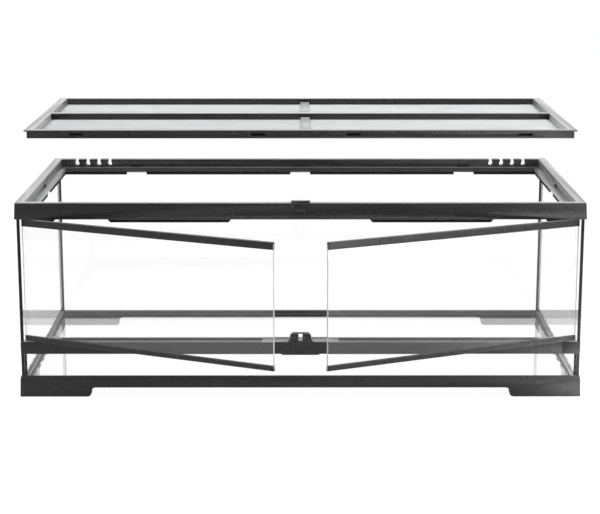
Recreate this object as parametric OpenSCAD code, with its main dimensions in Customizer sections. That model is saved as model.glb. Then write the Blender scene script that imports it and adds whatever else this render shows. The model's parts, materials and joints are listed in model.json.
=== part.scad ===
// Front-opening glass terrarium, low and wide, with a lift-off screen cover.
// X runs to the right, Y away from the viewer and Z up. The origin lies on the surface that the
// feet stand on, under the middle of the space that the object takes with its doors ajar. The
// pieces are drawn about the middle of the cabinet and placed by the last module. Lengths are
// in millimetres.
// The two doors are drawn ajar and the screen cover is drawn lifted off its seat.

/* [Cabinet] */
// Width over the two side panes
glass_w = 900; // [850:10:1200]
// Depth over the sill pane and the back pane
glass_d = 450; // [350:10:600]
// Height from the feet to the rim
cabinet_h = 318; // [270:1:600]
// Thickness of the wall panes
pane_t = 5; // [4:0.5:6]
// Thickness of the floor pane
floor_t = 5; // [4:0.5:6]
// Free space between a pane and the moulding around it
pane_gap = 0.2; // [0.1:0.05:0.3]

/* [Base frame] */
// Height of the base moulding at its front and sides
base_h = 35; // [33:0.5:45]
// Height of the base moulding at its back, and of its upstand inside the panes
base_back_h = 30; // [28:0.5:31]
// Height of the feet
foot_h = 15; // [13:0.5:15]
// Length of a foot along each side, from the corner
foot_l = 115; // [80:1:140]
// Radius of the toe and of the arch corner
foot_r = 6.5; // [4:0.1:6.5]
// How far the base stands out past the glass at the ground
base_flare = 3.3; // [3:0.1:5]
// How far the base stands out past the glass at its shoulder
base_shoulder = 2.3; // [2:0.1:2.8]
// How far the base's bevelled top edge stands out past the glass
base_lip_out = 0.9; // [0.7:0.1:1.5]
// Height of the bevel along the base's top edge
base_bevel_h = 4.5; // [3:0.5:6]
// Height of the shelf that the floor pane lies on
shelf_z = 18; // [17.5:0.5:20]
// Width of that shelf
shelf_w = 3.6; // [3:0.1:6]
// Height of the groove's floor that the wall panes stand on
groove_z = 20; // [18.5:0.5:22]
// Thickness of the upstand between the wall panes and the floor pane
upstand_t = 2.6; // [2:0.1:4]
// Length of a support tooth on the shelf
tooth_l = 14; // [8:1:20]
// Spacing of the support teeth
tooth_pitch = 40; // [30:1:60]
// Reach of a support tooth
tooth_out = 2.5; // [1.5:0.1:4]
// Height of a support tooth
tooth_h = 2; // [1.5:0.1:2.5]
// Wall of a hollow foot
foot_wall = 2.5; // [2:0.1:3]

/* [Top frame] */
// Height of the skirt around the top frame
skirt_h = 26; // [22:0.5:34]
// How far the skirt stands out past the glass at its lower edge
skirt_flare = 3.2; // [2.8:0.1:5]
// How far the rim stands out past the glass
rim_out = 2; // [1.6:0.1:2.6]
// Width of the flat rim
rim_w = 14; // [13.5:0.5:18]
// Thickness of the rim and of the recess wall
rim_t = 2.5; // [2:0.1:3]
// Depth of the recess that takes the screen cover
recess_d = 14; // [13.8:0.1:16]
// Width of the ledge that the screen cover stands on
ledge_w = 8.5; // [8:0.5:12]
// Height of the lip below the ledge
lip_h = 13; // [11:0.5:15]
// Thickness of the lip below the ledge
lip_t = 2.5; // [2:0.1:3]
// Height of the stepped-back band at the foot of the lip
band_h = 6; // [4:0.5:8]
// Depth of that step
band_step = 0.8; // [0.5:0.1:1.2]
// Width of a window in that band
window_w = 36; // [28:1:44]
// Spacing of the snap nibs along the back
nib_pitch = 300; // [200:5:305]
// Width of a snap nib
nib_w = 22; // [14:1:26]
// Height of a snap nib
nib_h = 4.5; // [3:0.5:5]
// Reach of a snap nib
nib_out = 1.4; // [0.8:0.1:1.5]
// Number of cable notches at each back corner
notch_count = 4; // [2:1:4]
// Spacing of the cable notches
notch_pitch = 20; // [14:1:22]
// Distance from the middle to the innermost cable notch
notch_x = 350; // [325:5:355]
// Diameter of the round end of a cable notch
notch_d = 8.5; // [7:0.5:9]
// Width of the neck of a cable notch
notch_neck = 6; // [4.5:0.1:6.4]
// Depth of a cable notch
notch_depth = 12; // [10:0.5:12.5]
// Clear height between a pane's top edge and the cable notches
notch_land = 1.8; // [1:0.1:3]
// Thickness of a seating rib over a pane
rib_t = 2; // [1.5:0.1:3]
// Spacing of the seating ribs
rib_pitch = 150; // [120:5:160]
// Length of a long stop strip behind the top of a door
stop_l = 195; // [120:5:230]
// Distance from the middle to a long stop strip
stop_x = 111; // [90:1:130]
// Drop of a long stop strip below the skirt
stop_drop = 7.2; // [6:0.2:12]
// Length of a short stop strip beside a hinge
hinge_stop_l = 40; // [30:1:50]
// Drop of a short stop strip below the skirt
hinge_stop_drop = 5.5; // [4:0.5:7]

/* [Sill rail] */
// Height of the sill rail's lower edge
sill_z = 71.5; // [60:0.5:90]
// Height of the sill rail
sill_h = 20; // [20:0.5:26]
// Wall of the sill rail
sill_t = 2; // [1.8:0.1:2.1]
// How far the front of the sill rail stands out past the glass
sill_out = 3; // [2.9:0.1:3.2]
// Height of the sill pane that the rail covers
sill_grip = 6; // [4:0.5:6]
// Height of the door stop along the back of the sill
sill_stop_h = 4; // [2:0.5:5]
// Thickness of the door stop
sill_stop_t = 3; // [2:0.1:3.2]
// Distance from the middle to the start of the door stop
sill_stop_x0 = 61; // [45:1:80]
// Distance from the end of the rail to the end of the door stop
sill_stop_inset = 36; // [20:1:90]
// Width of the openings for the vent strips
vent_w = 12; // [8:0.5:14]
// Number of vent strips
vent_count = 6; // [4:1:6]
// Rail between two vent strips
vent_bridge = 10; // [6:1:14]
// Width of a vent slot
vent_slot = 2; // [1.5:0.1:2.2]
// Spacing of the vent slots
vent_pitch = 4; // [3.8:0.1:6]
// Border around the vent slots
vent_border = 1.5; // [1:0.1:2]
// Height of the rail's back skirt
sill_back_h = 7.5; // [6:0.5:9]
// Length of a hinge block at each end of the rail
hinge_block_l = 29; // [26:0.5:34]
// Width of the bulged middle of the rail's lower edge
bulge_w = 62; // [50:1:80]
// Drop of that bulge
bulge_drop = 1.8; // [1:0.1:3]

/* [Doors] */
// Thickness of the door glass
door_glass_t = 4; // [3:0.5:4.5]
// Thickness of the door rails
door_rail_t = 7.4; // [6.6:0.1:7.6]
// Height of a door's top rail
door_top_h = 11.5; // [9:0.5:14]
// Height of a door's bottom rail
door_bottom_h = 8; // [7:0.5:10]
// Web of a rail that the glass edge rests on
door_web = 3.2; // [2.8:0.1:4]
// Edge radius of the door rails
door_edge_r = 1.2; // [0.8:0.1:1.4]
// Radius of the door rails' ends
door_end_r = 2.5; // [1.5:0.1:3]
// Gap between the two closed doors
door_meet = 3; // [2:0.5:5]
// Gap between a closed door and the side pane
door_side_gap = 1.8; // [1.5:0.1:2.5]
// Gap below a door and above it
door_gap = 1; // [0.6:0.1:1.5]
// Gap between a closed door and its stops
door_stop_gap = 0.4; // [0.3:0.1:0.6]
// Distance from a door's end to its pivot
pivot_inset = 6; // [5:0.5:6.5]
// Diameter of a pivot pin
pin_d = 4; // [3:0.5:4.5]
// Length of a pivot pin in its hinge block
pin_l = 7; // [5:0.5:8]
// Radial running clearance of a pivot pin
pin_clear = 0.08; // [0.05:0.01:0.1]
// Angle that the doors are drawn open, in degrees
door_open = 24.1; // [0:0.1:105]

/* [Door latch] */
// Width over the two catch lobes
catch_w = 36; // [30:0.5:44]
// Thickness of the catch
catch_t = 2.8; // [2.4:0.1:3]
// Height of the catch above the rail
catch_h = 15.5; // [12:0.5:16]
// Width of the lock hole between the lobes
catch_hole_w = 6.4; // [5:0.2:8]
// Thickness of the bridge over the lock hole
catch_bridge = 3; // [2:0.1:4]
// Width of a guide leg
catch_leg_w = 9; // [6:0.5:11]
// Thickness of a guide leg
catch_leg_t = 0.9; // [0.8:0.1:1]
// Length of a guide leg below the top of the rail
catch_leg_l = 4.2; // [3:0.1:4.5]

/* [Screen cover] */
// Height of the cover's outer skirt
cover_h = 13.2; // [12:0.1:13.4]
// Width of the cover's top flange
cover_flange = 14; // [12:0.5:20]
// How far the flange stands out past the skirt
cover_over = 4; // [3:0.5:5]
// Gap between the flange and the recess wall
cover_gap = 2; // [1.8:0.1:3]
// Wall of the cover's mouldings
cover_t = 2; // [1.6:0.1:2.4]
// Depth from the flange to the screen
screen_depth = 10.5; // [8:0.1:10.8]
// Thickness of the screen
screen_t = 0.8; // [0.6:0.1:1]
// Width of the bars across the cover
bar_w = 16; // [12:0.5:24]
// How far the short bars lie below the flange
short_bar_drop = 6; // [3:0.5:6.5]
// Sideways place of the short bars
short_bar_x = 8; // [-20:1:20]
// Reach of the clamp past the cover's inner wall
clamp_in = 5; // [3:0.5:7]
// Width of a snap slot in the cover's skirt
snap_slot_w = 22; // [14:1:26]
// Height of a snap slot
snap_slot_h = 3; // [2:0.2:4]
// Depth from the flange to the middle of a snap slot
snap_slot_drop = 8; // [6:0.2:9]
// Distance from the short bars to the inner snap slots
snap_inner_x = 75.5; // [50:0.5:120]
// Distance from the middle to the outer snap slots
snap_outer_x = 355; // [250:5:365]
// Height that the cover is drawn above its seat
cover_raise = 114; // [20:1:200]

/* [Cover latch] */
// Width of the push button in the front skirt
button_w = 16.8; // [12:0.2:22]
// Height of the push button
button_h = 10.4; // [8:0.2:12]
// Distance from the rim down to the push button
button_drop = 4.2; // [4:0.1:6]
// Width of the bolt on the rim
bolt_w = 30; // [24:1:40]
// Length of the bolt, front to back
bolt_l = 13; // [11:0.5:13.5]
// Height of the bolt
bolt_h = 3; // [2:0.2:4]
// Travel of the bolt
bolt_travel = 5; // [4:0.1:5]

/* [Hidden] */
$fn = 48;

// Colours as they are photographed
plastic_colour = "#38383a";
rail_colour = "#48484a";
seal_colour = "#1f1f21";
glass_colour = [0.86, 0.93, 0.91, 0.35];
steel_colour = "#b9bbbd";
screen_colour = "#c9cbcc";

// Overrun of every cut, and the clearance between pieces that move past each other
over = 1;
fit_gap = 0.3;

// Half sizes and the planes of the front and back glass
half_w = glass_w / 2;
half_d = glass_d / 2;
front_y = -half_d;
wall_in_w = half_w - pane_t;
wall_in_d = half_d - pane_t;

// Base frame: the upstand, the shelf and the feet
upstand_out_w = wall_in_w - pane_gap;
upstand_out_d = wall_in_d - pane_gap;
upstand_in_w = upstand_out_w - upstand_t;
upstand_in_d = upstand_out_d - upstand_t;
shelf_in_w = upstand_in_w - shelf_w;
shelf_in_d = upstand_in_d - shelf_w;
floor_top_z = shelf_z + floor_t;
arch_half_w = half_w + base_flare - foot_l;
arch_half_d = half_d + base_flare - foot_l;

// Silicone beads and the trims on the glass edges
bead = 3.5;
floor_bead = 3;
trim_t = 0.7;
bead_top_gap = 4;

// Top frame: levels from the rim down, and the faces of the recess and of the mouth
skirt_z = cabinet_h - skirt_h;
rim_under_z = cabinet_h - rim_t;
ledge_z = cabinet_h - recess_d;
lip_z = ledge_z - lip_h;
notch_z = cabinet_h - notch_depth;
pane_top_z = notch_z - notch_land;
recess_in_w = half_w + rim_out - rim_w;
recess_in_d = half_d + rim_out - rim_w;
recess_out_w = recess_in_w + rim_t;
recess_out_d = recess_in_d + rim_t;
mouth_w = recess_in_w - ledge_w;
mouth_d = recess_in_d - ledge_w;
nib_ramp_share = 0.4;

// Closed doors: faces, levels and the pivot
stop_face_y = -recess_out_d;
door_back_y = stop_face_y - door_stop_gap;
door_front_y = door_back_y - door_rail_t;
pivot_y = door_back_y - door_rail_t / 2;
door_x1 = wall_in_w - door_side_gap;
door_x0 = door_meet / 2;
pivot_x = door_x1 - pivot_inset;
sill_top_z = sill_z + sill_h;
door_z0 = sill_top_z + door_gap;
door_z1 = skirt_z - door_gap;
glass_inset = 0.6;
pin_seat_clear = 0.02;
pin_bore_gap = 0.4;
collar_d = 6.6;
door_corner_reach = norm([pivot_inset, door_rail_t / 2]);

// Sill rail: faces from front to back
rail_front_y = front_y - sill_out;
rail_wall_y = rail_front_y + sill_t;
rail_inner_y = front_y + pane_t + pane_gap;
rail_inner_back_y = rail_inner_y + sill_t;
sill_stop_y = stop_face_y;
vent_y0 = sill_stop_y + sill_stop_t + sill_t;
vent_y1 = vent_y0 + vent_w;
rail_back_y = vent_y1 + sill_t;
sill_pane_z = sill_z + sill_grip;
rail_end_x = half_w - hinge_block_l;
rail_rib_pitch = rib_pitch / 2;
sill_stop_x1 = rail_end_x - sill_stop_inset;
vent_span = 2 * sill_stop_x1;
vent_step = vent_span / vent_count;
vent_l = vent_step - vent_bridge;

// Door latch: the catch stands just in front of the closed doors and sinks into the rail
catch_back_y = door_front_y - fit_gap;
catch_front_y = catch_back_y - catch_t;
pocket_front_y = catch_front_y - fit_gap;
catch_top_z = sill_top_z + catch_h;
catch_foot_w = 1.5;
catch_foot_h = 1.6;
catch_travel = catch_top_z - door_z0 + fit_gap;
catch_body_z = max(sill_pane_z + fit_gap + catch_travel, sill_top_z + fit_gap);
pocket_half_w = catch_w / 2 + catch_foot_w + fit_gap;
pocket_z = sill_top_z - catch_leg_l - catch_travel - fit_gap;
catch_crown_share = 0.7;
catch_shoulder_share = 0.94;
catch_slope_share = 0.74;

// Screen cover as seated: levels and faces
cover_z0 = ledge_z + fit_gap;
cover_z1 = cover_z0 + cover_h;
screen_z1 = cover_z1 - screen_depth;
screen_z0 = screen_z1 - screen_t;
flange_w = recess_in_w - cover_gap;
flange_d = recess_in_d - cover_gap;
open_w = flange_w - cover_flange;
open_d = flange_d - cover_flange;
cover_skirt_w = flange_w - cover_over;
cover_skirt_d = flange_d - cover_over;
screen_w = cover_skirt_w - cover_t - fit_gap;
screen_d = cover_skirt_d - cover_t - fit_gap;

// Cover latch: the button fills a window in the skirt, and a web joins it to the bolt
button_z1 = cabinet_h - button_drop;
button_z0 = button_z1 - button_h;
button_front_y = front_y - (skirt_flare + rim_out) / 2;
web_t = 2.5;
web_w = 12;
web_y0 = front_y - pane_gap + fit_gap;
web_y1 = web_y0 + web_t;
bolt_front_y = front_y - rim_out + fit_gap;
bolt_z0 = cabinet_h + fit_gap;
bolt_chamfer = 1.2;

// How far the drawn doors reach to the front, at the round corner of a rail, and what centres the whole
ajar_dx = pivot_x - door_x0 - door_end_r;
ajar_dy = door_rail_t / 2 - door_end_r;
ajar_front_y = pivot_y - ajar_dx * sin(door_open) - ajar_dy * cos(door_open) - door_end_r;
middle_y = (half_d + base_flare + min(ajar_front_y, front_y - base_flare)) / 2;

// Box between two corners
module box(x0, x1, y0, y1, z0, z1) {
    translate([x0, y0, z0]) cube([x1 - x0, y1 - y0, z1 - z0]);
}

// Box around the middle of the cabinet, given by its half width and half depth
module slab(hw, hd, z0, z1) {
    box(-hw, hw, -hd, hd, z0, z1);
}

// Rectangular ring, given by its outer half sizes and its wall
module ring(hw, hd, wall, z0, z1) {
    difference() {
        slab(hw, hd, z0, z1);
        slab(hw - wall, hd - wall, z0 - over, z1 + over);
    }
}

// Upright outline, mirrored about its middle, from pairs of height and outset
module leaning_outline(half, levels) {
    right_side = [for (level = levels) [half + level[1], level[0]]];
    left_side = [for (i = [len(levels) - 1:-1:0]) [-half - levels[i][1], levels[i][0]]];
    polygon(concat(right_side, left_side));
}

// Block whose four walls lean alike
module leaning_block(hw, hd, levels) {
    reach = 2 * (max(hw, hd) + max([for (level = levels) level[1]]) + over);
    intersection() {
        rotate([90, 0, 0]) linear_extrude(reach, center = true) leaning_outline(hw, levels);
        rotate([90, 0, 90]) linear_extrude(reach, center = true) leaning_outline(hd, levels);
    }
}

// The same shape on both sides of the middle
module both_sides() {
    children();
    mirror([1, 0, 0]) children();
}

// Flat shape drawn in X and Z, extruded away from the viewer between two planes
module from_front(y0, y1) {
    translate([0, y1, 0]) rotate([90, 0, 0]) linear_extrude(y1 - y0) children();
}

// Flat shape drawn in Y and Z, extruded to the right between two planes
module from_side(x0, x1) {
    translate([x0, 0, 0]) rotate([90, 0, 90]) linear_extrude(x1 - x0) children();
}

// Opening under a rail, with round corners at its roof and round toes at the ground
module arch_outline(half) {
    translate([-half, -over]) square([2 * half, over + foot_h - foot_r]);
    translate([-half + foot_r, 0]) square([2 * (half - foot_r), foot_h]);
    for (side = [-1, 1]) {
        translate([side * (half - foot_r), foot_h - foot_r]) circle(foot_r);
        difference() {
            translate([side * (half + foot_r / 2), (foot_r - over) / 2]) {
                square([foot_r, foot_r + over], center = true);
            }
            translate([side * (half + foot_r), foot_r]) circle(foot_r);
            translate([side * (half + foot_r), -over / 2]) square([foot_r, over], center = true);
        }
    }
}

// Hollow of the four feet, seen from below
module foot_hollows() {
    hollow_out_w = half_w + base_shoulder - foot_wall;
    hollow_out_d = half_d + base_shoulder - foot_wall;
    end_w = arch_half_w + foot_r + foot_wall;
    end_d = arch_half_d + foot_r + foot_wall;
    translate([0, 0, -over]) linear_extrude(shelf_z - foot_wall + over) difference() {
        square([2 * hollow_out_w, 2 * hollow_out_d], center = true);
        square([2 * (shelf_in_w + foot_wall), 2 * (shelf_in_d + foot_wall)], center = true);
        square([2 * end_w, 2 * half_d + 2 * base_flare], center = true);
        square([2 * half_w + 2 * base_flare, 2 * end_d], center = true);
    }
}

// Teeth along the shelf's inner edge that hold up the floor pane
module shelf_teeth() {
    count_w = floor((shelf_in_w - tooth_l) / tooth_pitch);
    count_d = floor((shelf_in_d - tooth_l) / tooth_pitch);
    root = shelf_w / 2;
    middle = (root - tooth_out) / 2;
    translate([0, 0, shelf_z - tooth_h]) linear_extrude(tooth_h) {
        for (side = [-1, 1], i = [-count_w:count_w]) {
            translate([i * tooth_pitch, side * (shelf_in_d + middle)]) {
                square([tooth_l, tooth_out + root], center = true);
            }
        }
        for (side = [-1, 1], i = [-count_d:count_d]) {
            translate([side * (shelf_in_w + middle), i * tooth_pitch]) {
                square([tooth_out + root, tooth_l], center = true);
            }
        }
    }
}

// Base moulding: leaning skirt, pane groove, upstand, shelf and four hollow feet
module base_frame() {
    shoulder_z = base_h - base_bevel_h;
    levels = [[0, base_flare], [shoulder_z, base_shoulder], [base_h, base_lip_out]];
    color(plastic_colour) {
        difference() {
            leaning_block(half_w, half_d, levels);
            difference() {
                slab(half_w + pane_gap, half_d + pane_gap, groove_z, base_h + over);
                slab(upstand_out_w, upstand_out_d, groove_z - over, base_back_h);
            }
            slab(upstand_in_w, upstand_in_d, shelf_z, base_h + over);
            slab(shelf_in_w, shelf_in_d, -over, base_h + over);
            box(-wall_in_w, wall_in_w, half_d, half_d + base_flare + over, base_back_h, base_h + over);
            from_front(-half_d - base_flare - over, half_d + base_flare + over) {
                arch_outline(arch_half_w);
            }
            from_side(-half_w - base_flare - over, half_w + base_flare + over) {
                arch_outline(arch_half_d);
            }
            foot_hollows();
        }
        shelf_teeth();
    }
}

// Floor pane on its shelf
module floor_glass() {
    color(glass_colour) {
        slab(upstand_in_w - pane_gap, upstand_in_d - pane_gap, shelf_z, floor_top_z);
    }
}

// Side pane, on the side that is given as -1 or 1
module side_glass(side) {
    color(glass_colour) translate([side * (half_w - pane_t / 2), 0, (groove_z + pane_top_z) / 2]) {
        cube([pane_t, glass_d, pane_top_z - groove_z], center = true);
    }
}

// Back pane between the side panes
module back_glass() {
    color(glass_colour) {
        box(-upstand_out_w, upstand_out_w, wall_in_d, half_d, groove_z, pane_top_z);
    }
}

// Low front pane under the doors
module sill_glass() {
    color(glass_colour) {
        box(-upstand_out_w, upstand_out_w, front_y, front_y + pane_t, groove_z, sill_pane_z);
    }
}

// Silicone bead around the floor pane
module floor_seal() {
    top_z = floor_top_z + floor_bead;
    slope = [[floor_top_z - over, -floor_bead - over], [top_z + over, over]];
    color(seal_colour) difference() {
        slab(upstand_in_w, upstand_in_d, floor_top_z, top_z);
        leaning_block(upstand_in_w, upstand_in_d, slope);
    }
}

// Upright silicone beads in two corners, whose way out of the corner is given as -1 or 1
module corner_beads(corner_y, inward, z0, z1) {
    color(seal_colour) both_sides() translate([0, 0, z0]) linear_extrude(z1 - z0) {
        polygon([
            [wall_in_w, corner_y], [wall_in_w - bead, corner_y],
            [wall_in_w, corner_y + inward * bead]
        ]);
    }
}

// Beads beside the back pane, up to the top frame
module back_corner_seals() {
    corner_beads(wall_in_d, -1, base_back_h, ledge_z - bead_top_gap);
}

// Beads beside the sill pane, up to the sill rail
module front_corner_seals() {
    corner_beads(-wall_in_d, 1, base_back_h, sill_z);
}

// Black strips on the front edges of the side panes
module front_edge_trims() {
    color(seal_colour) both_sides() {
        box(wall_in_w, half_w, front_y - trim_t, front_y, base_h + fit_gap, skirt_z - fit_gap);
    }
}

// One vent strip with its row of slots
module vent_strip() {
    slot_room = vent_l - 2 * (pane_gap + vent_border) - vent_slot;
    slots = floor(slot_room / vent_pitch);
    slot_l = vent_w - 2 * (pane_gap + vent_border);
    linear_extrude(sill_t) difference() {
        square([vent_l - 2 * pane_gap, vent_w - 2 * pane_gap], center = true);
        for (i = [0:slots]) {
            translate([(i - slots / 2) * vent_pitch, 0]) square([vent_slot, slot_l], center = true);
        }
    }
}

// Row of vent strips along the back of the sill
module vent_strips() {
    color(rail_colour) for (i = [0:vent_count - 1]) {
        translate([(i - (vent_count - 1) / 2) * vent_step, (vent_y0 + vent_y1) / 2, sill_top_z - sill_t]) {
            vent_strip();
        }
    }
}

// Cross section of the sill rail: front wall, top plate, inner wall and back skirt
module sill_outline() {
    translate([rail_front_y, sill_z]) square([sill_t, sill_h]);
    translate([rail_front_y, sill_top_z - sill_t]) square([rail_back_y - rail_front_y, sill_t]);
    translate([rail_inner_y, sill_z]) square([sill_t, sill_h - sill_t / 2]);
    translate([rail_back_y - sill_t, sill_top_z - sill_back_h]) square([sill_t, sill_back_h]);
}

// Sill rail across the front, with door stops, vent openings and the latch pocket
module sill_rail() {
    bulge_half_w = bulge_w / 2;
    color(rail_colour) difference() {
        union() {
            from_side(-rail_end_x + pane_gap, rail_end_x - pane_gap) sill_outline();
            both_sides() box(
                sill_stop_x0, sill_stop_x1, sill_stop_y, sill_stop_y + sill_stop_t,
                sill_top_z - sill_t, sill_top_z + sill_stop_h);
            from_front(rail_front_y, rail_wall_y) polygon([
                [-bulge_half_w, sill_z + sill_t], [-bulge_half_w, sill_z],
                [-bulge_half_w + bulge_drop, sill_z - bulge_drop],
                [bulge_half_w - bulge_drop, sill_z - bulge_drop],
                [bulge_half_w, sill_z], [bulge_half_w, sill_z + sill_t]
            ]);
            both_sides() for (x = [rail_rib_pitch:rail_rib_pitch:rail_end_x - rib_t]) {
                box(x, x + rib_t, rail_wall_y - sill_t / 2, rail_inner_y + sill_t / 2,
                    sill_pane_z, sill_top_z - sill_t / 2);
            }
        }
        for (i = [0:vent_count - 1]) {
            translate([(i - (vent_count - 1) / 2) * vent_step, (vent_y0 + vent_y1) / 2, sill_top_z]) {
                cube([vent_l, vent_w, 2 * (sill_t + over)], center = true);
            }
        }
        box(-pocket_half_w, pocket_half_w, pocket_front_y, catch_back_y + pane_gap,
            pocket_z, sill_top_z + over);
    }
}

// Hinge block at the right end of the sill rail, with the lower pivot's bore
module lower_hinge() {
    block_back_y = sill_stop_y + sill_stop_t;
    color(rail_colour) difference() {
        union() {
            box(rail_end_x, half_w, rail_front_y, rail_wall_y, sill_z, sill_top_z);
            box(rail_end_x, upstand_out_w, rail_wall_y - sill_t / 2, block_back_y,
                sill_pane_z + pane_gap, sill_top_z);
            box(rail_end_x, upstand_out_w, rail_inner_y, rail_inner_back_y, sill_z, sill_top_z - sill_t);
        }
        translate([pivot_x, pivot_y, sill_top_z - pin_l + door_gap - pin_bore_gap]) {
            cylinder(h = pin_l + over, r = pin_d / 2 + pin_clear);
        }
    }
}

// Hinge block in the top frame over the right door, with the upper pivot's bore
module upper_hinge() {
    block_x0 = wall_in_w - door_side_gap - 2 * pivot_inset - collar_d / 2;
    color(rail_colour) difference() {
        box(block_x0, upstand_out_w, front_y - pane_gap, stop_face_y, skirt_z, pane_top_z);
        translate([pivot_x, pivot_y, skirt_z - over]) {
            cylinder(h = pin_l - door_gap + pin_bore_gap + over, r = pin_d / 2 + pin_clear);
        }
    }
}

// Ring of ribs in the top channel that hold down the panes
module pane_ribs() {
    rib_z1 = rim_under_z + rim_t / 2;
    for (x = [-2 * rib_pitch:rib_pitch:2 * rib_pitch]) {
        box(x - rib_t / 2, x + rib_t / 2, recess_in_d + rim_t / 2, half_d + rim_out / 2,
            pane_top_z, rib_z1);
    }
    both_sides() for (y = [-rib_pitch:rib_pitch:rib_pitch]) {
        box(recess_in_w + rim_t / 2, half_w + rim_out / 2, y - rib_t / 2, y + rib_t / 2,
            pane_top_z, rib_z1);
    }
}

// Nib with a ramped top, standing out of a wall that faces the viewer
module snap_nib() {
    from_side(-nib_w / 2, nib_w / 2) polygon([
        [rim_t / 2, 0], [-nib_out, 0], [-nib_out, nib_ramp_share * nib_h], [0, nib_h], [rim_t / 2, nib_h]
    ]);
}

// Nibs along the back of the recess and in the middle of its sides
module snap_nibs() {
    for (x = [-nib_pitch, 0, nib_pitch]) translate([x, recess_in_d, ledge_z]) snap_nib();
    for (side = [-1, 1]) {
        translate([side * recess_in_w, 0, ledge_z]) rotate([0, 0, side * -90]) snap_nib();
    }
}

// Strip that hangs from the recess wall behind the top of a door
module stop_strip(x0, x1, drop) {
    from_front(stop_face_y, -recess_in_d) polygon([
        [x0, ledge_z], [x0, skirt_z - drop / 2], [x0 + drop / 2, skirt_z - drop],
        [x1 - drop / 2, skirt_z - drop], [x1, skirt_z - drop / 2], [x1, ledge_z]
    ]);
}

// Outline of a cable notch: a round end below a narrower neck
module notch_outline() {
    centre_z = notch_z + notch_d / 2;
    translate([0, centre_z]) circle(d = notch_d);
    translate([-notch_neck / 2, centre_z]) square([notch_neck, cabinet_h - centre_z + over]);
}

// Top moulding: skirt, rim, recess with its ledge and lip, nibs, stops and notches
module top_frame() {
    hinge_stop_x1 = pivot_x - door_corner_reach - fit_gap;
    color(plastic_colour) difference() {
        union() {
            difference() {
                leaning_block(half_w, half_d, [[skirt_z, skirt_flare], [cabinet_h, rim_out]]);
                slab(half_w + pane_gap, half_d + pane_gap, skirt_z - over, rim_under_z);
                slab(recess_in_w, recess_in_d, skirt_z, cabinet_h + over);
            }
            ring(recess_out_w, recess_out_d, rim_t, ledge_z - rim_t, rim_under_z + rim_t / 2);
            ring(recess_out_w, recess_out_d, ledge_w + rim_t, ledge_z - rim_t, ledge_z);
            ring(mouth_w + lip_t, mouth_d + lip_t, lip_t, lip_z, ledge_z);
            pane_ribs();
            snap_nibs();
            both_sides() {
                stop_strip(stop_x, stop_x + stop_l, stop_drop);
                stop_strip(hinge_stop_x1 - hinge_stop_l, hinge_stop_x1, hinge_stop_drop);
            }
        }
        slab(mouth_w + band_step, mouth_d + band_step, lip_z - over, lip_z + band_h);
        for (x = [-nib_pitch, 0, nib_pitch]) {
            box(x - window_w / 2, x + window_w / 2, mouth_d - over, mouth_d + lip_t + over,
                lip_z - over, lip_z + band_h);
        }
        both_sides() {
            box(mouth_w - over, mouth_w + lip_t + over, -window_w / 2, window_w / 2,
                lip_z - over, lip_z + band_h);
        }
        both_sides() for (i = [0:notch_count - 1]) {
            translate([notch_x + i * notch_pitch, 0, 0]) {
                from_front(recess_in_d - over, half_d + skirt_flare + over) notch_outline();
            }
        }
        box(-button_w / 2 - fit_gap, button_w / 2 + fit_gap, front_y - skirt_flare - over, front_y + over,
            button_z0 - fit_gap, button_z1 + fit_gap);
        box(-web_w / 2 - fit_gap, web_w / 2 + fit_gap, web_y0 - fit_gap, web_y1 + bolt_travel + fit_gap,
            rim_under_z - over, cabinet_h + over);
    }
}

// A closed right door swung open by the angle that it is drawn at, or a left one by mirror
module hung(side) {
    mirror([side < 0 ? 1 : 0, 0, 0]) translate([pivot_x, pivot_y, 0]) rotate([0, 0, door_open]) {
        translate([-pivot_x, -pivot_y, 0]) children();
    }
}

// Rounded rectangle from its lower left corner
module rounded(w, h, r) {
    translate([r, 0]) square([w - 2 * r, h]);
    translate([0, r]) square([w, h - 2 * r]);
    for (x = [r, w - r], y = [r, h - r]) translate([x, y]) circle(r);
}

// Door rail with a slot for the glass, open upward or downward, and a bore for its pin
module door_rail(z0, z1, glass_z0, glass_z1) {
    slot_y0 = pivot_y - door_glass_t / 2 - pane_gap;
    color(rail_colour) difference() {
        intersection() {
            from_side(door_x0, door_x1) {
                translate([door_front_y, z0]) rounded(door_rail_t, z1 - z0, door_edge_r);
            }
            translate([door_x0, door_front_y, z0]) linear_extrude(z1 - z0) {
                rounded(door_x1 - door_x0, door_rail_t, door_end_r);
            }
        }
        box(door_x0 - over, door_x1 + over, slot_y0, slot_y0 + door_glass_t + 2 * pane_gap,
            glass_z0, glass_z1);
        translate([pivot_x, pivot_y, z0 - over]) {
            cylinder(h = z1 - z0 + 2 * over, r = pin_d / 2 + pin_seat_clear);
        }
    }
}

// Top rail of a door, on the side that is given as -1 or 1
module door_top_rail(side) {
    hung(side) door_rail(door_z1 - door_top_h, door_z1, door_z1 - door_top_h - over, door_z1 - door_web);
}

// Bottom rail of a door
module door_bottom_rail(side) {
    rail_top_z = door_z0 + door_bottom_h;
    hung(side) door_rail(door_z0, rail_top_z, door_z0 + door_web, rail_top_z + over);
}

// Pane of a door, from rail to rail
module door_glass(side) {
    color(glass_colour) hung(side) {
        box(door_x0 + glass_inset, door_x1 - glass_inset, pivot_y - door_glass_t / 2,
            pivot_y + door_glass_t / 2, door_z0 + door_web, door_z1 - door_web);
    }
}

// Pivot pin with a thrust collar, its head up from zero and its running end down
module door_pin() {
    collar_h = door_gap - fit_gap;
    translate([0, 0, -pin_l]) cylinder(h = pin_l + door_web - pane_gap, r = pin_d / 2);
    translate([0, 0, -collar_h]) cylinder(h = collar_h, r = collar_d / 2);
}

// Lower and upper pivot pins of a door
module door_pins(side) {
    color(steel_colour) hung(side) {
        translate([pivot_x, pivot_y, door_z0]) door_pin();
        translate([pivot_x, pivot_y, door_z1]) mirror([0, 0, 1]) door_pin();
    }
}

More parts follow.
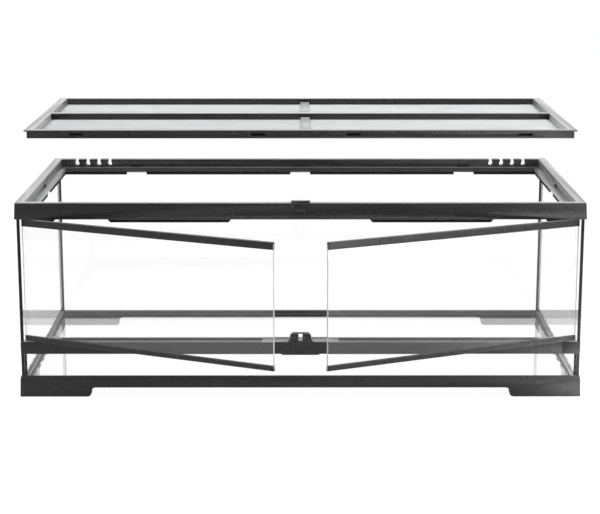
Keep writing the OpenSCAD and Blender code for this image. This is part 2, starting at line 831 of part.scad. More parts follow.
// Half of the catch's front outline, with its crown, shoulder, side and foot
module catch_outline() {
    half = catch_w / 2;
    slope_z = sill_top_z + catch_slope_share * catch_h;
    hole_z = catch_top_z - catch_bridge;
    foot_z = catch_body_z + catch_foot_h;
    polygon([
        [0, hole_z], [0, catch_top_z], [catch_crown_share * half, catch_top_z],
        [catch_shoulder_share * half, slope_z], [half, foot_z],
        [half + catch_foot_w, foot_z], [half + catch_foot_w, catch_body_z],
        [catch_hole_w / 2, catch_body_z], [catch_hole_w / 2, hole_z]
    ]);
}

// Press-down latch: two lobes with a bridge over the lock hole, on two thin guide legs
module door_latch() {
    leg_x0 = catch_hole_w / 2;
    leg_z0 = sill_top_z - catch_leg_l;
    color(rail_colour) intersection() {
        union() {
            from_front(catch_front_y, catch_back_y) both_sides() catch_outline();
            both_sides() box(leg_x0, leg_x0 + catch_leg_w, catch_front_y, catch_front_y + catch_leg_t,
                leg_z0, catch_body_z + catch_foot_h / 2);
        }
        from_side(-catch_w, catch_w) polygon([
            [catch_front_y, leg_z0 - over], [catch_back_y, leg_z0 - over],
            [catch_back_y, catch_top_z], [catch_back_y - catch_t / 2, catch_top_z],
            [catch_front_y, sill_top_z + catch_slope_share * catch_h]
        ]);
    }
}

// Cover latch: a push button in the skirt, and a bolt that slides over the cover's flange
module cover_latch() {
    bolt_z1 = bolt_z0 + bolt_h;
    color(plastic_colour) {
        box(-button_w / 2, button_w / 2, button_front_y, web_y0 + web_t / 2, button_z0, button_z1);
        box(-web_w / 2, web_w / 2, web_y0, web_y1, button_z0, bolt_z0 + bolt_h / 2);
        from_side(-bolt_w / 2, bolt_w / 2) polygon([
            [bolt_front_y, bolt_z0], [bolt_front_y + bolt_l, bolt_z0],
            [bolt_front_y + bolt_l, bolt_z1 - bolt_chamfer], [bolt_front_y + bolt_l - bolt_chamfer, bolt_z1],
            [bolt_front_y + bolt_chamfer, bolt_z1], [bolt_front_y, bolt_z1 - bolt_chamfer]
        ]);
    }
}

// The cover's pieces, lifted to the height that they are drawn at
module lifted() {
    translate([0, 0, cover_raise]) children();
}

// Cover frame: flange, outer skirt with snap slots, and inner wall
module cover_frame() {
    web_z = cover_z1 - cover_t / 2;
    slots_x = [-snap_outer_x, short_bar_x - snap_inner_x, short_bar_x + snap_inner_x, snap_outer_x];
    color(plastic_colour) lifted() difference() {
        union() {
            ring(flange_w, flange_d, cover_flange, cover_z1 - cover_t, cover_z1);
            ring(cover_skirt_w, cover_skirt_d, cover_t, cover_z0, web_z);
            ring(open_w + cover_t, open_d + cover_t, cover_t, screen_z1, web_z);
        }
        for (x = slots_x, side = [-1, 1]) {
            translate([x, side * (cover_skirt_d - cover_t / 2), cover_z1 - snap_slot_drop]) {
                cube([snap_slot_w, cover_t + 2 * over, snap_slot_h], center = true);
            }
        }
    }
}

// Bar with an open underside, given by its corners
module channel_bar(x0, x1, y0, y1, z1) {
    along_x = x1 - x0 > y1 - y0;
    inset_x = along_x ? -over : cover_t;
    inset_y = along_x ? cover_t : -over;
    difference() {
        box(x0, x1, y0, y1, screen_z1, z1);
        box(x0 + inset_x, x1 - inset_x, y0 + inset_y, y1 - inset_y, screen_z1 - over, z1 - cover_t);
    }
}

// Long bar across the middle of the cover, flush with the flange
module cover_long_bar() {
    color(plastic_colour) lifted() channel_bar(-open_w, open_w, -bar_w / 2, bar_w / 2, cover_z1);
}

// Two short bars between the long bar and the frame, lower than the flange
module cover_short_bars() {
    x0 = short_bar_x - bar_w / 2;
    bar_z = cover_z1 - short_bar_drop;
    color(rail_colour) lifted() {
        channel_bar(x0, x0 + bar_w, -open_d, -bar_w / 2, bar_z);
        channel_bar(x0, x0 + bar_w, bar_w / 2, open_d, bar_z);
    }
}

// Woven screen, as a plain sheet
module cover_screen() {
    color(screen_colour) lifted() slab(screen_w, screen_d, screen_z0, screen_z1);
}

// Ring that clamps the screen's edge from below
module screen_clamp() {
    color(plastic_colour) lifted() {
        ring(screen_w, screen_d, screen_w - open_w + clamp_in, cover_z0, screen_z0);
    }
}

// Moves the middle of the drawn object over the origin
module placed() {
    translate([0, -middle_y, 0]) children();
}

placed() base_frame();
placed() floor_glass();
placed() side_glass(-1);  // left_glass
placed() side_glass(1);  // right_glass
placed() back_glass();
placed() sill_glass();
placed() floor_seal();
placed() back_corner_seals();
placed() front_corner_seals();
placed() front_edge_trims();
placed() sill_rail();
placed() vent_strips();
placed() mirror([1, 0, 0]) lower_hinge();  // left_lower_hinge
placed() lower_hinge();  // right_lower_hinge
placed() mirror([1, 0, 0]) upper_hinge();  // left_upper_hinge
placed() upper_hinge();  // right_upper_hinge
placed() top_frame();
placed() door_glass(-1);  // left_door_glass
placed() door_top_rail(-1);  // left_door_top_rail
placed() door_bottom_rail(-1);  // left_door_bottom_rail
placed() door_pins(-1);  // left_door_pins
placed() door_glass(1);  // right_door_glass
placed() door_top_rail(1);  // right_door_top_rail
placed() door_bottom_rail(1);  // right_door_bottom_rail
placed() door_pins(1);  // right_door_pins
placed() door_latch();
placed() cover_latch();
placed() cover_frame();
placed() cover_long_bar();
placed() cover_short_bars();
placed() cover_screen();
placed() screen_clamp();
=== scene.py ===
# %% [markdown]
# A front-opening glass terrarium with its screen cover lifted off.
# The measured model comes in first, as a fixed frame in metres: X to the right, Y away from the
# viewer, Z up, and the feet stand on zero. Everything below dresses that frame and never moves it.

# %% Load the measured model
import json
import math

import bpy
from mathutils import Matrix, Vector


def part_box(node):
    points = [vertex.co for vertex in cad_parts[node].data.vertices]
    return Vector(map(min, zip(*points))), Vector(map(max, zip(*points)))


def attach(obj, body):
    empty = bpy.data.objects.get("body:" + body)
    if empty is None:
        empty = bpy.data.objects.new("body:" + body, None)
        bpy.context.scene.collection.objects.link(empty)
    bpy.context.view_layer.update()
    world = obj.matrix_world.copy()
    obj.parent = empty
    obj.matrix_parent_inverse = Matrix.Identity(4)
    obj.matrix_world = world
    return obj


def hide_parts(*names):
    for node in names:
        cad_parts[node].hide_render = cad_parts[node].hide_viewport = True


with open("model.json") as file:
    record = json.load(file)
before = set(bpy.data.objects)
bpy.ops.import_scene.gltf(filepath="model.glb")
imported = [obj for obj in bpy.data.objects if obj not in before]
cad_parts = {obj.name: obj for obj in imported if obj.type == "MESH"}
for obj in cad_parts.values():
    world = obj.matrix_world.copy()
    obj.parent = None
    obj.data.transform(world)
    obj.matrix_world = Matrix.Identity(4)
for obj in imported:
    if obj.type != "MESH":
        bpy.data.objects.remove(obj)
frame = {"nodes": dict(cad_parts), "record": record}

nodes = frame["nodes"]
bodies = frame["record"]["behaviour"]["bodies"]
body_of = {node: body for body, members in bodies.items() for node in members}
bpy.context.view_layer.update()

# %% [markdown]
# The camera is a long portrait lens, about two and a half metres in front of the cabinet and half
# a metre above its rim. Its place comes from fitting a pinhole camera to the corners of the base,
# the top frame, the doors and the cover in the photograph, so it is written down as numbers.

# %% Camera
shot_w = 600
focal_px = 1665.2
tilt_down, turn_right = 12.41, 0.07
lens_data = bpy.data.cameras.new("product_camera")
lens_data.sensor_width = 36
lens_data.lens = focal_px / shot_w * lens_data.sensor_width
camera = bpy.data.objects.new("product_camera", lens_data)
bpy.context.scene.collection.objects.link(camera)
camera.location = (-0.0040, -2.7269, 0.8001)
camera.rotation_euler = (math.radians(90 - tilt_down), 0, math.radians(-turn_right))
bpy.context.scene.camera = camera
print("lens", round(lens_data.lens, 1), "mm, tilted down by", tilt_down, "degrees")

# %% [markdown]
# Colours are written as on a paint card, in hex, and one function turns them into the linear
# numbers that the renderer works in. Another adds a node with its settings and links, so a finish
# reads like a recipe: what feeds what. Two more stand for steps that come back: a pattern that
# runs between two tones, and a test for rays that come from the camera, straight or through glass.

# %% Colour and node helpers
def paint(card):
    parts = [int(card[i:i + 2], 16) / 255 for i in (1, 3, 5)]
    return [p / 12.92 if p <= 0.04045 else ((p + 0.055) / 1.055) ** 2.4 for p in parts] + [1.0]


def add(tree, kind, settings=None, links=None):
    node = tree.nodes.new(kind)
    for name, value in (settings or {}).items():
        if isinstance(name, int) or name in node.inputs:
            node.inputs[name].default_value = value
        else:
            setattr(node, name, value)
    for name, source in (links or {}).items():
        tree.links.new(source, node.inputs[name])
    return node


def blank_material(name):
    material = bpy.data.materials.new(name)
    material.use_nodes = True
    material.node_tree.nodes.clear()
    return material, material.node_tree


def two_tones(tree, card, card_light, pattern):
    ramp = add(tree, "ShaderNodeValToRGB", {}, {"Fac": pattern.outputs[0]})
    ramp.color_ramp.elements[0].color = paint(card)
    ramp.color_ramp.elements[1].color = paint(card_light)
    return ramp.outputs[0]


def seen_directly(tree, path):
    either = add(tree, "ShaderNodeMath", {"operation": "MAXIMUM"},
                 {0: path.outputs["Is Camera Ray"], 1: path.outputs["Is Transmission Ray"]})
    return either.outputs[0]


print("mid grey", paint("#808080")[0])

# %% [markdown]
# The photograph is a shop picture on pure white. The world is white to the camera and through
# glass, and lights the matt part of every surface at half that strength. In a mirror it is
# brightest behind the cabinet, where such a studio has its lit backdrop, bright at both sides, and
# dark in a field in front, a little to the left. The upright faces of the black mouldings mirror
# that field and stay deep, the doors are turned out of it, and the tops mirror the backdrop and
# shine. The field is written as a direction and two cosines, for its edge and its darkest part.

# %% World
matt_level = 0.5
backdrop_level, side_level = 2.0, 1.2
dark_way, dark_share = (-0.14, -0.99, 0.0), 0.15
field_edge, field_core = 0.6, 0.985
world = bpy.data.worlds.new("studio")
bpy.context.scene.world = world
world.use_nodes = True
tree = world.node_tree
tree.nodes.clear()
way = add(tree, "ShaderNodeTexCoord")
facing = add(tree, "ShaderNodeVectorMath", {"operation": "DOT_PRODUCT", 1: dark_way},
             {0: way.outputs["Generated"]})
round_it = add(tree, "ShaderNodeMapRange", {"From Min": -1.0, "From Max": field_edge,
                                            "To Min": backdrop_level, "To Max": side_level},
               {"Value": facing.outputs["Value"]})
dark_field = add(tree, "ShaderNodeMapRange", {"From Min": field_edge, "From Max": field_core,
                                              "To Min": 1.0, "To Max": dark_share},
                 {"Value": facing.outputs["Value"]})
dim_front = add(tree, "ShaderNodeMath", {"operation": "MULTIPLY"},
                {0: round_it.outputs[0], 1: dark_field.outputs[0]})
path = add(tree, "ShaderNodeLightPath")
straight = seen_directly(tree, path)
mirrored = add(tree, "ShaderNodeMix", {"A": matt_level},
               {"Factor": path.outputs["Is Glossy Ray"], "B": dim_front.outputs[0]})
level = add(tree, "ShaderNodeMix", {"B": 1.0}, {"Factor": straight, "A": mirrored.outputs[0]})
sky = add(tree, "ShaderNodeBackground", {"Color": (1, 1, 1, 1)}, {"Strength": level.outputs[0]})
add(tree, "ShaderNodeOutputWorld", {}, {"Surface": sky.outputs[0]})
print("the world lights at", matt_level)

# %% [markdown]
# Four soft lamps do the shaping: a long strip overhead, which draws a thin bright line along every
# rounded edge, a weaker square one low on the right, and two that shine down on the floor, one in
# front on the right and a small one beside the right feet. The upright faces mirror those patches
# of floor, so they grow lighter from left to right, as in the photograph. The lamps over the floor
# aren't mirrored themselves. They are aimed a centimetre behind the point below them, because a
# direction straight down leaves open which way a lamp is turned.

# %% Lamps
def soft_lamp(name, size, place, target, watts):
    data = bpy.data.lights.new(name, "AREA")
    data.shape = "RECTANGLE"
    data.size, data.size_y = size
    data.energy = watts
    lamp = bpy.data.objects.new(name, data)
    bpy.context.scene.collection.objects.link(lamp)
    lamp.location = place
    lamp.rotation_euler = (Vector(target) - Vector(place)).to_track_quat("-Z", "Y").to_euler()
    return lamp


aim_behind = 0.01
floor_spread = math.radians(70)
soft_lamp("overhead_strip", (3.0, 0.5), place=(0, -0.5, 2.6), target=(0, 0.1, 0.3), watts=30)
soft_lamp("right_softbox", (1.4, 1.4), place=(2.2, -1.6, 0.8), target=(0.45, -0.1, 0.2), watts=14)
for name, side, place, watts in (("floor_softbox", 0.8, (0.8, -1.45, 0.7), 15),
                                 ("foot_softbox", 0.3, (0.62, -0.2, 0.3), 1.8)):
    below = (place[0], place[1] + aim_behind, 0)
    lamp = soft_lamp(name, (side, side), place, below, watts)
    lamp.data.spread = floor_spread
    lamp.visible_camera = False
    lamp.visible_glossy = False

# %% [markdown]
# The floor is a plain pale sheet, half a millimetre below the feet, so that no two surfaces share
# a plane. It reaches far behind the cabinet and meets the white world there. To the camera, and
# through glass, most of its brightness is its own, so it stays white where the light falls, and
# still takes the cabinet's soft shadow.

# %% Floor
floor_side, floor_behind, floor_gap = 60, 20, 0.0005
own_share, own_level = 0.7, 1.3
bpy.ops.object.select_all(action="DESELECT")
bpy.ops.mesh.primitive_plane_add(size=floor_side, location=(0, floor_behind, -floor_gap))
floor = bpy.context.object
floor.name = "studio_floor"
paper, tree = blank_material("white_paper_backdrop")
path = add(tree, "ShaderNodeLightPath")
own = add(tree, "ShaderNodeMath", {"operation": "MULTIPLY", 1: own_share},
          {0: seen_directly(tree, path)})
sheet = add(tree, "ShaderNodeBsdfDiffuse", {"Color": paint("#dadada")})
glow = add(tree, "ShaderNodeEmission", {"Color": (1, 1, 1, 1), "Strength": own_level})
both = add(tree, "ShaderNodeMixShader", {},
           {0: own.outputs[0], 1: sheet.outputs[0], 2: glow.outputs[0]})
add(tree, "ShaderNodeOutputMaterial", {}, {"Surface": both.outputs[0]})
floor.data.materials.append(paper)
print("floor laid, its own light", own_share)

# %% [markdown]
# The panes are float glass: clear, hardly tinted, and mirror-smooth. Light on its way to a lamp
# passes straight through, so the panes throw no dark shadow, which a path tracer would otherwise
# be slow to find out. A sheet of glass is never quite flat, hence the slow, faint waves. A view
# through the cabinet crosses many surfaces of glass, so a ray may go on for many steps.

# %% Clear float glass
bpy.context.scene.cycles.max_bounces = 24
bpy.context.scene.cycles.transmission_bounces = 24
bpy.context.scene.cycles.transparent_max_bounces = 32


def glass_finish(name, card, waves_mm, rough):
    material, tree = blank_material(name)
    place = add(tree, "ShaderNodeTexCoord")
    wave = add(tree, "ShaderNodeTexNoise", {"Scale": 1000.0 / waves_mm, "Detail": 1.0},
               {"Vector": place.outputs["Object"]})
    ripple = add(tree, "ShaderNodeBump", {"Strength": 0.02, "Distance": 0.0005},
                 {"Height": wave.outputs[0]})
    pane = add(tree, "ShaderNodeBsdfPrincipled",
               {"Base Color": paint(card), "Roughness": rough, "IOR": 1.5,
                "Transmission Weight": 1.0},
               {"Normal": ripple.outputs[0]})
    clear = add(tree, "ShaderNodeBsdfTransparent", {"Color": paint("#fbfbfb")})
    path = add(tree, "ShaderNodeLightPath")
    mix = add(tree, "ShaderNodeMixShader", {},
              {0: path.outputs["Is Shadow Ray"], 1: pane.outputs[0], 2: clear.outputs[0]})
    add(tree, "ShaderNodeOutputMaterial", {}, {"Surface": mix.outputs[0]})
    return material


glass = glass_finish("clear_float_glass", "#fefefe", waves_mm=60, rough=0.0)
print(glass.name)

# %% [markdown]
# The cut edges of a pane are ground with a belt and left matt. They scatter the light that runs
# along inside the glass, so they show as thin pale lines with a hint of green. A noise pattern
# draws the grinding marks, about 2 mm apart, in the colour and in the relief.

# %% Ground glass edge
ground_edge, tree = blank_material("belt_ground_glass_edge")
place = add(tree, "ShaderNodeTexCoord")
marks = add(tree, "ShaderNodeTexNoise", {"Scale": 500.0, "Detail": 2.0},
            {"Vector": place.outputs["Object"]})
tone = two_tones(tree, "#d6d9d8", "#eceeed", marks)
scratch = add(tree, "ShaderNodeBump", {"Strength": 0.3, "Distance": 0.0002},
              {"Height": marks.outputs[0]})
matt = add(tree, "ShaderNodeBsdfPrincipled",
           {"Roughness": 0.45, "IOR": 1.5, "Transmission Weight": 0.15},
           {"Base Color": tone, "Normal": scratch.outputs[0]})
add(tree, "ShaderNodeOutputMaterial", {}, {"Surface": matt.outputs[0]})
print(ground_edge.name)

# %% [markdown]
# The frames are moulded in charcoal ABS from spark-eroded tools, which gives them a fine, even
# grain. The grain breaks up the mirror image into a soft sheen, strongest at a low angle. A real
# grain is about 0.3 mm. That is a fifth of a pixel here, so it is drawn at 1.5 mm, and at 2.5 mm
# on the smoother extruded rails. A slower cloud lies over it, for the uneven cooling of long
# pieces. Grain and cloud are added up, and the span of their sum sets both roughness and colour.

# %% Moulded and extruded charcoal plastics
grain_share = 0.6
blend_span = {"From Min": 0.5, "From Max": 1.1}


def grained_plastic(name, card, card_light, grain_mm, rough_low, rough_high, dent, sheen):
    material, tree = blank_material(name)
    place = add(tree, "ShaderNodeTexCoord")
    grain = add(tree, "ShaderNodeTexNoise",
                {"Scale": 1000.0 / grain_mm, "Detail": 2.0, "Roughness": 0.6},
                {"Vector": place.outputs["Object"]})
    cloud = add(tree, "ShaderNodeTexNoise", {"Scale": 9.0, "Detail": 2.0},
                {"Vector": place.outputs["Object"]})
    blend = add(tree, "ShaderNodeMath", {"operation": "MULTIPLY_ADD", 1: grain_share},
                {0: grain.outputs[0], 2: cloud.outputs[0]})
    rough = add(tree, "ShaderNodeMapRange",
                {**blend_span, "To Min": rough_low, "To Max": rough_high},
                {"Value": blend.outputs[0]})
    share = add(tree, "ShaderNodeMapRange", blend_span, {"Value": blend.outputs[0]})
    tone = two_tones(tree, card, card_light, share)
    relief = add(tree, "ShaderNodeBump", {"Strength": 0.35, "Distance": dent},
                 {"Height": grain.outputs[0]})
    skin = add(tree, "ShaderNodeBsdfPrincipled",
               {"IOR": 1.53, "Sheen Weight": sheen, "Sheen Roughness": 0.4,
                "Sheen Tint": paint("#f4f4f5")},
               {"Base Color": tone, "Roughness": rough.outputs[0], "Normal": relief.outputs[0]})
    add(tree, "ShaderNodeOutputMaterial", {}, {"Surface": skin.outputs[0]})
    return material


frame_plastic = grained_plastic("grained_charcoal_abs", "#1b1b1c", "#242425", grain_mm=1.5,
                                rough_low=0.22, rough_high=0.34, dent=0.00008, sheen=1.0)
rail_plastic = grained_plastic("satin_charcoal_pvc", "#19191a", "#212122", grain_mm=2.5,
                               rough_low=0.22, rough_high=0.32, dent=0.00004, sheen=1.0)
print(frame_plastic.name, rail_plastic.name)

# %% [markdown]
# The corner joints are black silicone, pressed into the corner and wiped with a wet finger. It is
# satin and never as sharp as a moulding, and the finger leaves waves some 12 mm long.

# %% Wiped black silicone
silicone, tree = blank_material("wiped_black_silicone")
place = add(tree, "ShaderNodeTexCoord")
smear = add(tree, "ShaderNodeTexNoise", {"Scale": 80.0, "Detail": 2.0},
            {"Vector": place.outputs["Object"]})
relief = add(tree, "ShaderNodeBump", {"Strength": 0.4, "Distance": 0.0004},
             {"Height": smear.outputs[0]})
gloss = add(tree, "ShaderNodeMapRange", {"To Min": 0.28, "To Max": 0.5},
            {"Value": smear.outputs[0]})
tone = two_tones(tree, "#161617", "#222223", smear)
skin = add(tree, "ShaderNodeBsdfPrincipled", {"IOR": 1.41},
           {"Base Color": tone, "Roughness": gloss.outputs[0], "Normal": relief.outputs[0]})
add(tree, "ShaderNodeOutputMaterial", {}, {"Surface": skin.outputs[0]})
print(silicone.name)

# %% [markdown]
# The pivot pins are cold-drawn steel: drawing leaves fine lines along the pin and a soft, stretched
# highlight, so the pattern is squeezed across the pin. The cover's screen is woven from bright
# wire, paler and cleaner.

# %% Drawn steel and bright wire
def drawn_metal(name, card, card_light, squeeze, rough_low, rough_high):
    material, tree = blank_material(name)
    place = add(tree, "ShaderNodeTexCoord")
    squeezed = add(tree, "ShaderNodeMapping", {"Scale": squeeze},
                   {"Vector": place.outputs["Object"]})
    lines = add(tree, "ShaderNodeTexNoise", {"Scale": 1.0, "Detail": 2.0},
                {"Vector": squeezed.outputs[0]})
    tone = two_tones(tree, card, card_light, lines)
    rough = add(tree, "ShaderNodeMapRange", {"To Min": rough_low, "To Max": rough_high},
                {"Value": lines.outputs[0]})
    skin = add(tree, "ShaderNodeBsdfPrincipled", {"Metallic": 1.0},
               {"Base Color": tone, "Roughness": rough.outputs[0]})
    add(tree, "ShaderNodeOutputMaterial", {}, {"Surface": skin.outputs[0]})
    return material


pin_steel = drawn_metal("cold_drawn_steel", "#a9aaab", "#c4c5c6", squeeze=(2500, 2500, 60),
                        rough_low=0.25, rough_high=0.4)
bright_wire = drawn_metal("woven_bright_wire", "#bcbdbe", "#d0d1d1", squeeze=(12, 12, 12),
                          rough_low=0.35, rough_high=0.5)
print(pin_steel.name, bright_wire.name)

# %% [markdown]
# Every measured piece gets its finish by the slot that the record names for it. A piece's mesh is
# left as it is, and only its material is exchanged.

# %% Dress the measured pieces
finish_of = {
    "pane_glass": glass, "black_silicone": silicone, "frame_plastic": frame_plastic,
    "rail_plastic": rail_plastic, "pin_steel": pin_steel, "screen_wire": bright_wire,
}
slot_of = {part["node"]: part["material_slot"] for part in frame["record"]["subparts"]}
for name, slot in slot_of.items():
    nodes[name].data.materials.clear()
    nodes[name].data.materials.append(finish_of[slot])
print(len(slot_of), "pieces dressed")

# %% [markdown]
# No moulded or cut edge is truly sharp, and it is the thin highlight along a rounded edge that
# makes a piece look made. A copy of each measured piece is merged, its flat faces are joined up,
# and its edges are rounded by a fraction of a millimetre. The copy then stands for the piece. It
# only loses material at its edges, so it stays inside the measured shape.

# %% Helpers that copy and round a piece
same_point = 0.00001
flat_angle, sharp_angle, smooth_angle = math.radians(0.5), math.radians(35), math.radians(32)
arc_steps = 2


def merged_copy(node):
    piece = bpy.data.objects.new(node + "_soft", nodes[node].data.copy())
    bpy.context.scene.collection.objects.link(piece)
    bpy.ops.object.select_all(action="DESELECT")
    bpy.context.view_layer.objects.active = piece
    piece.select_set(True)
    bpy.ops.object.mode_set(mode="EDIT")
    bpy.ops.mesh.select_all(action="SELECT")
    bpy.ops.mesh.remove_doubles(threshold=same_point)
    bpy.ops.mesh.dissolve_limited(angle_limit=flat_angle)
    bpy.ops.object.mode_set(mode="OBJECT")
    return piece


def round_edges(piece, node, radius, steps=arc_steps):
    edge = piece.modifiers.new("edge", "BEVEL")
    edge.width = radius
    edge.segments = steps
    edge.limit_method = "ANGLE"
    edge.angle_limit = sharp_angle
    edge.harden_normals = False
    bpy.ops.object.modifier_apply(modifier="edge")
    bpy.ops.object.shade_smooth_by_angle(angle=smooth_angle)
    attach(piece, body_of[node])
    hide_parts(node)


print("edges sharper than", round(math.degrees(sharp_angle)), "degrees are rounded")

# %% [markdown]
# The moulded frames, bars and hinge blocks get a radius of about half a millimetre, as their tools
# have. The doors' rails are extruded with much softer edges, and the thin trims have hardly any
# room for one. The cover, the door latch and the panes follow in cells of their own.

# %% Rounded copies of the mouldings
radius_of = {
    "base_frame": 0.0005, "top_frame": 0.0004, "sill_rail": 0.0004,
    "left_lower_hinge": 0.0004, "right_lower_hinge": 0.0004,
    "cover_long_bar": 0.0005, "cover_short_bars": 0.0005, "cover_latch": 0.0006,
    "front_edge_trims": 0.0002,
    "left_door_top_rail": 0.0012, "left_door_bottom_rail": 0.0012,
    "right_door_top_rail": 0.0012, "right_door_bottom_rail": 0.0012,
}
for node, radius in radius_of.items():
    piece = merged_copy(node)
    round_edges(piece, node, radius)
    print(node, len(piece.data.polygons), "faces")

# %% [markdown]
# The faces that sit in shade, in recesses and behind other parts, get a matt plastic with a coarse
# texture and no sheen. Its colour, darker than the frames', is painted shade. It goes on single
# faces of a piece, as a second material. A face is chosen by its place, and most often by how far
# in from the piece's outside it stands.

# %% Matt plastic with painted shade for hidden faces
# Painted shade: the two dark tones stand in for the shade on hidden faces; the high roughness and
# no sheen are the matt surface.
shade_painted_plastic = grained_plastic("matt_abs_painted_shade", "#0e0e0f", "#161617", grain_mm=1.5,
                               rough_low=0.85, rough_high=0.97, dent=0.0002, sheen=0.0)


def inset_of(at, low, high):
    return min(at.x - low.x, high.x - at.x, at.y - low.y, high.y - at.y)


def between(value, span):
    return span[0] < value < span[1]


# Paints shade on the faces that is_shaded picks, by giving them the dark plastic.
def paint_shade_on(piece, is_shaded):
    piece.data.materials.append(shade_painted_plastic)
    for face in piece.data.polygons:
        face.material_index = 1 if is_shaded(face) else 0
    print(sum(face.material_index for face in piece.data.polygons), "matt faces on", piece.name)


print(shade_painted_plastic.name)

# %% [markdown]
# On the top frame, painted shade goes on the faces that lie in shade: the lip that hangs inside it,
# the door stops in its front channel, the snap nibs in the recess, and the edge of the button's
# window. Heights are measured from the frame's lowest edge. The window's edge is told from the flat
# skirt round it by the way that its faces look.

# %% Painted shade on lip, door stops, nibs and window
lip_inset, lip_top = (0.0208, 0.0232), 0.0125
stop_inset, stop_top, stop_reach = (0.0120, 0.0160), 0.0180, 0.0160
nib_inset, nib_low = (0.0154, 0.0170), 0.0194
window_half_w, window_reach, window_span = 0.0095, 0.0040, (0.0175, 0.0300)
flat_front = -0.95
rim_low, rim_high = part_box("top_frame")


def shade_on_top_frame(face):
    inset = inset_of(face.center, rim_low, rim_high)
    above, behind = face.center.z - rim_low.z, face.center.y - rim_low.y
    lip = between(inset, lip_inset) and above < lip_top
    stop = behind < stop_reach and between(inset, stop_inset) and above < stop_top
    nib = between(inset, nib_inset) and above > nib_low
    window = (abs(face.center.x) < window_half_w and behind < window_reach
              and between(above, window_span) and face.normal.y > flat_front)
    return lip or stop or nib or window


top_soft = bpy.data.objects["top_frame_soft"]
# The lip, stops, nibs and window edge get the dark plastic, which is painted shade.
paint_shade_on(top_soft, shade_on_top_frame)
print("the rim is", round(1000 * rim_high.z), "mm above the feet")

# %% [markdown]
# The cover latch is one piece: a button in the front skirt and a bolt that stands up from the rim.
# The bolt's front and the edge round the button's flat front get the dark plastic, as painted
# shade;
# at the button it draws the outline as a painted shadow line.

# %% Painted shade on bolt and button edge
def shade_on_cover_latch(face):
    if face.center.z > rim_high.z:
        return face.normal.y < -0.5
    return face.normal.y > flat_front


latch_soft = bpy.data.objects["cover_latch_soft"]
# Painted shade on the bolt's front and the button's edge.
paint_shade_on(latch_soft, shade_on_cover_latch)
print(latch_soft.name, "has", len(latch_soft.data.materials), "materials")

# %% [markdown]
# The cover's skirt has eight slots, which snap over the nibs in the recess. Seen from in front they
# are dark: the outside of the inner wall stands behind them and gets the dark plastic, as painted
# shade. Their upper edges are moved up by a little more than a millimetre, to the height that
# shows.
# Points are picked by their place on the measured piece, before its edges are rounded.

# %% Cover frame with open snap slots
near = 0.0002
soft_edge = 0.0004
slot_depth, slot_rise = 0.0065, 0.0012
inner_wall_inset = 0.012


def move_points(piece, picked, shift):
    bpy.ops.object.mode_set(mode="OBJECT")
    for part in (*piece.data.polygons, *piece.data.edges):
        part.select = False
    for vertex in piece.data.vertices:
        vertex.select = picked(vertex.co)
    count = sum(vertex.select for vertex in piece.data.vertices)
    bpy.ops.object.mode_set(mode="EDIT")
    bpy.ops.mesh.select_mode(type="VERT")
    bpy.ops.transform.translate(value=shift)
    bpy.ops.object.mode_set(mode="OBJECT")
    print(count, "points moved by", [round(1000 * part, 2) for part in shift], "mm")


def shade_on_cover(face):
    inset = inset_of(face.center, cover_low, cover_high)
    return abs(inset - inner_wall_inset) < near and abs(face.normal.z) < 0.5


cover = merged_copy("cover_frame")
cover_low, cover_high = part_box("cover_frame")
slot_top = cover_high.z - slot_depth
move_points(cover, lambda co: abs(co.z - slot_top) < near, (0, 0, slot_rise))
round_edges(cover, "cover_frame", soft_edge)
# The inner wall's outside gets painted shade, so the slots read dark.
paint_shade_on(cover, shade_on_cover)
print(cover.name, len(cover.data.polygons), "faces")

# %% [markdown]
# The door latch gets more shaping than a rounded edge. A thumb presses it down, so the tops of its
# two lobes slope at about 45 degrees from the front edge right to the back, which also makes them
# catch the overhead lamp. The points of the measured piece's narrower slope are picked by their
# place and moved: the crest back, the front edge up and its ends inward. The top of the lock hole
# between the lobes follows the front edge.

# %% Latch with sloped tops
crest_inset, crest_back = 0.0014, 0.00115
slope_drop, slope_rise, ends_in = 0.00403, 0.0015, 0.0016
hole_half_w, hole_drop, hole_reach, lobe_end = 0.005, 0.003, 0.001, 0.010
latch = merged_copy("door_latch")
latch_low, latch_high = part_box("door_latch")
front, back, top = latch_low.y, latch_high.y, latch_high.z
slope_low, crest_y = top - slope_drop, back - crest_inset


def on_crest(co):
    return abs(co.z - top) < near and abs(co.y - crest_y) < near


def on_front_edge(co):
    return abs(co.y - front) < near and abs(co.z - slope_low) < near


def on_hole_top(co):
    return (abs(co.x) < hole_half_w and abs(co.z - top + hole_drop) < near
            and co.y < front + hole_reach)


move_points(latch, on_crest, (0, crest_back, 0))
move_points(latch, lambda co: on_front_edge(co) and abs(co.x) < hole_half_w, (0, 0, slope_rise))
for side in (-1, 1):
    move_points(latch, lambda co: on_front_edge(co) and side * co.x > lobe_end,
                (-side * ends_in, 0, slope_rise))
for corner in [vertex.co.copy() for vertex in latch.data.vertices if on_hole_top(vertex.co)]:
    move_points(latch, lambda co: (co - corner).length < same_point,
                (0, front - corner.y, slope_low + slope_rise - corner.z))
bpy.ops.object.mode_set(mode="EDIT")
bpy.ops.mesh.select_all(action="SELECT")
bpy.ops.mesh.remove_doubles(threshold=2 * same_point)
bpy.ops.object.mode_set(mode="OBJECT")
round_edges(latch, "door_latch", soft_edge)
print("the latch is", round(1000 * (top - latch_low.z), 1), "mm high, legs included")

# %% [markdown]
# The lobes' fronts are dished, as thin mouldings are, so that their walls are of one thickness. A
# cut across keeps the dishes above the two thin legs, which have the same flat front. Each dish is
# made by two insets of the front face: one for the wall, and one that goes in and slopes a little.

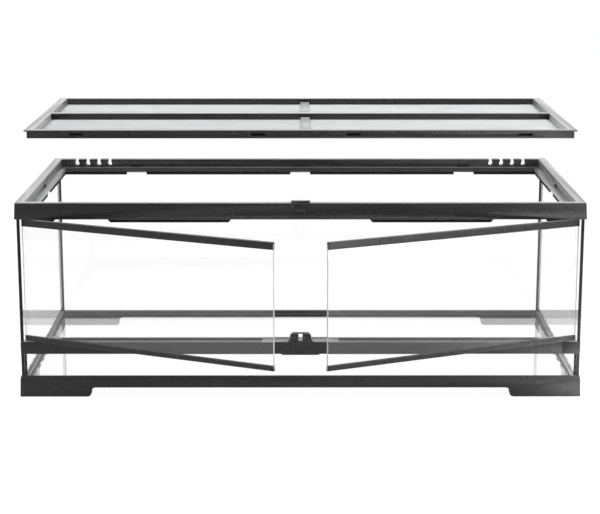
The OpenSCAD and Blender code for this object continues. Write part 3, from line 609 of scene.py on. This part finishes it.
# %% Dished lobes
dish_reach, smallest_face = 0.0125, 0.00003
wall_t, dish_slope, dish_depth = 0.0011, 0.0007, 0.0016
dish_low = top - dish_reach
bpy.ops.object.mode_set(mode="EDIT")
bpy.ops.mesh.select_all(action="SELECT")
bpy.ops.mesh.bisect(plane_co=(0, 0, dish_low), plane_no=(0, 0, 1))
bpy.ops.object.mode_set(mode="OBJECT")
for part in (*latch.data.vertices, *latch.data.edges):
    part.select = False
for face in latch.data.polygons:
    face.select = (face.normal.y < -0.99 and abs(face.center.y - front) < near
                   and face.area > smallest_face and face.center.z > dish_low)
bpy.ops.object.mode_set(mode="EDIT")
bpy.ops.mesh.select_mode(type="FACE")
bpy.ops.mesh.inset(thickness=wall_t, depth=0.0, use_even_offset=True)
bpy.ops.mesh.inset(thickness=dish_slope, depth=-dish_depth, use_even_offset=True)
bpy.ops.object.mode_set(mode="OBJECT")
print("dished", sum(face.select for face in latch.data.polygons), "faces")

# %% [markdown]
# The panes get the same care: a small arris, the bevel that a glazier takes off each edge, and the
# ground finish on every face that isn't one of the two big ones. Where an edge is glued to its
# neighbour, the black silicone of the joint lies on it instead. Axis 0 is X, and axis 1 is Y.

# %% Panes with ground edges
arris = 0.0004
glued_axes = {"floor_glass": (0, 1), "left_glass": (1,), "right_glass": (1,), "back_glass": (0,),
              "sill_glass": (0,)}
for node in [name for name, slot in slot_of.items() if slot == "pane_glass"]:
    pane = merged_copy(node)
    round_edges(pane, node, arris, steps=1)
    pane.data.materials.append(ground_edge)
    pane.data.materials.append(silicone)
    widest = max(face.area for face in pane.data.polygons)
    for face in pane.data.polygons:
        face.material_index = 0 if face.area > 0.5 * widest else 1
        glued = any(abs(face.normal[axis]) > 0.5 for axis in glued_axes.get(node, ()))
        if face.material_index and glued:
            face.material_index = 2
        face.use_smooth = False
    print(node, sum(face.material_index > 0 for face in pane.data.polygons), "edge faces")

# %% [markdown]
# The screen is fine woven wire, held at its edge between the cover's frame and its clamp. Each
# wire is a thin straight rod, made once and repeated across: one set runs left to right, and the
# other crosses it a wire's thickness lower. A rod with eight sides looks round at this size.

# %% Woven wire screen
screen_low, screen_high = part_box("cover_screen")
wire, wire_pitch, wire_sides = 0.00034, 0.0020, 8


def wire_set(name, along, across, level):
    run = (screen_high - screen_low)[along]
    room = (screen_high - screen_low)[across] - wire
    count = int(room / wire_pitch) + 1
    middle = (screen_low + screen_high) / 2
    middle[across] -= (count - 1) * wire_pitch / 2
    middle[2] = level
    quarter = math.radians(90)
    turn = (0, quarter, 0) if along == 0 else (quarter, 0, 0)
    bpy.ops.object.select_all(action="DESELECT")
    bpy.ops.mesh.primitive_cylinder_add(vertices=wire_sides, radius=wire / 2, depth=run,
                                        location=middle, rotation=turn)
    strand = bpy.context.object
    strand.name = name
    bpy.ops.object.transform_apply(location=True, rotation=True, scale=True)
    step = [0, 0, 0]
    step[across] = wire_pitch
    repeat = strand.modifiers.new("repeat", "ARRAY")
    repeat.count = count
    repeat.use_relative_offset = False
    repeat.use_constant_offset = True
    repeat.constant_offset_displace = step
    bpy.ops.object.modifier_apply(modifier="repeat")
    bpy.ops.object.shade_smooth_by_angle(angle=math.radians(60))
    strand.data.materials.append(bright_wire)
    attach(strand, "cover")
    print(name, count, "wires")
    return strand


screen_middle = (screen_low.z + screen_high.z) / 2
long_wires = wire_set("screen_long_wires", 0, 1, screen_middle + wire / 2)
wire_set("screen_cross_wires", 1, 0, screen_middle - wire / 2)
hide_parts("cover_screen")

# %% [markdown]
# Last, the colours are shown as they are written, through the standard view transform.

# %% View transform
view_settings = bpy.context.scene.view_settings
view_settings.view_transform = "Standard"
